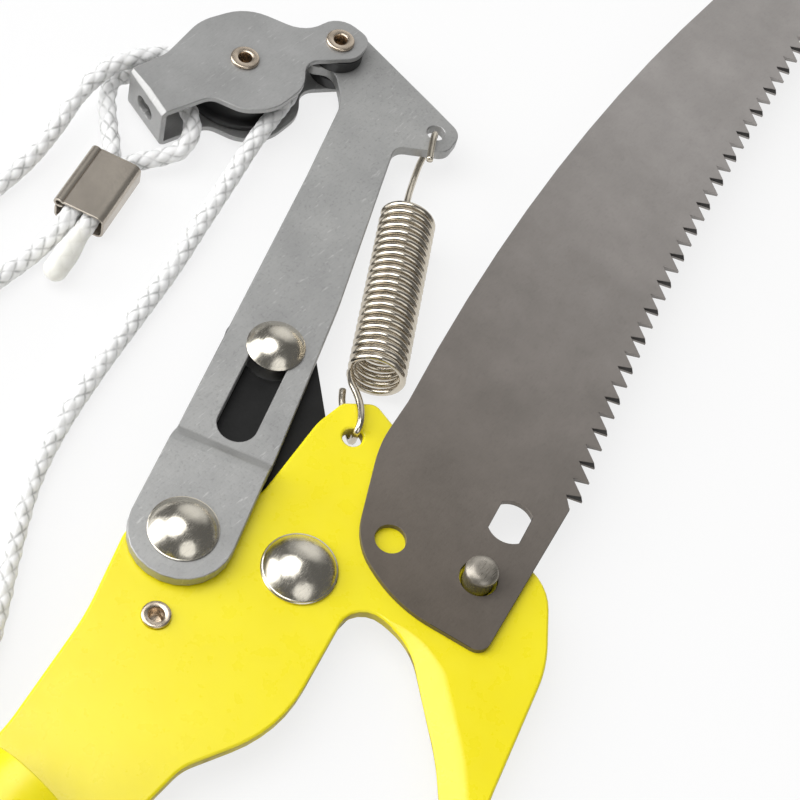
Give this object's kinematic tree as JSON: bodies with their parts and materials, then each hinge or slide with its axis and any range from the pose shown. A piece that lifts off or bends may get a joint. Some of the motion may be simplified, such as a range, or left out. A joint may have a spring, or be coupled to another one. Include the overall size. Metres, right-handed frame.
{
  "type": "tree pruner head",
  "caption": "Rope-operated pole pruner head with a hook jaw, slotted lever, pulley block, return spring and curved saw.",
  "frame": {"origin": "centre of the pole socket's mouth, on the pole's axis", "axes": "+X along the pole towards the saw, +Y towards the lever and the pulley, +Z out of the plate's front, away from the surface it lies on"},
  "size_m": [0.4732, 0.1886, 0.05],
  "materials": {
    "yellow_paint": "gloss",
    "black_steel": "satin",
    "nickel": "polished",
    "grey_steel": "satin",
    "zinc": "satin",
    "saw_steel": "satin",
    "spring_steel": "polished",
    "black_plastic": "matte",
    "white_rope": "matte"
  },
  "bodies": {
    "head": {"hook_plate": "yellow_paint", "pole_socket": "yellow_paint", "socket_boss": "yellow_paint", "socket_screw": "zinc", "blade_pivot_rivet": "nickel", "blade_front_washer": "nickel", "blade_back_washer": "zinc", "lever_pivot_rivet": "nickel", "plate_eyelet": "nickel", "saw_blade": "saw_steel", "saw_stud": "grey_steel", "rope_standing": "white_rope", "rope_lead": "white_rope", "rope_coil": "white_rope", "coil_tie": "white_rope", "rope_knot": "white_rope"},
    "lever": {"lever_arm": "grey_steel", "pulley_strap": "grey_steel", "pulley_axle": "nickel", "strap_rivet": "nickel", "strap_spacers": "black_plastic", "rope_clip": "grey_steel"},
    "blade": {"cutting_blade": "black_steel"},
    "drive": {"drive_rivet": "nickel", "drive_bush": "black_plastic", "drive_washer": "zinc"},
    "wheel": {"pulley_wheel": "black_plastic"},
    "spring": {"return_spring": "spring_steel"},
    "spring_top": {"spring_hook": "spring_steel"}
  },
  "joints": [
    {"name": "lever_swing", "type": "hinge", "parent": "head", "child": "lever", "pos_m": [0.1384, 0.0193, -0.008], "axis": [0, 0, 1], "range_deg": [0, 82], "stiffness_Nm_per_rad": 0.4, "springref_deg": -11.46, "deforming": ["rope_standing", "rope_lead", "return_spring", "spring_hook"]},
    {"name": "blade_swing", "type": "hinge", "parent": "head", "child": "blade", "pos_m": [0.15, -0.003, -0.008], "axis": [0, 0, 1], "range_deg": [0, 67]},
    {"name": "drive_slide", "type": "slide", "parent": "lever", "child": "drive", "axis": [0.9416, 0.3367, 0], "range_m": [-0.022, 0]},
    {"name": "wheel_turn", "type": "hinge", "parent": "lever", "child": "wheel", "pos_m": [0.2418, 0.0956, -0.008], "axis": [0, 0, 1], "continuous": true},
    {"name": "spring_turn", "type": "hinge", "parent": "head", "child": "spring", "pos_m": [0.1826, 0.0099, -0.008], "axis": [0, 0, 1], "range_deg": [0, 86]},
    {"name": "spring_stretch", "type": "slide", "parent": "spring", "child": "spring_top", "axis": [0.8895, 0.4569, 0], "range_m": [0, 0.059]}
  ],
  "couplings": [
    {"joint": "blade_swing", "follows": "lever_swing", "ratio": 0.81},
    {"joint": "drive_slide", "follows": "lever_swing", "m_per_rad": -0.01535},
    {"joint": "spring_turn", "follows": "lever_swing", "ratio": 1.0472},
    {"joint": "spring_stretch", "follows": "lever_swing", "m_per_rad": 0.04106}
  ]
}
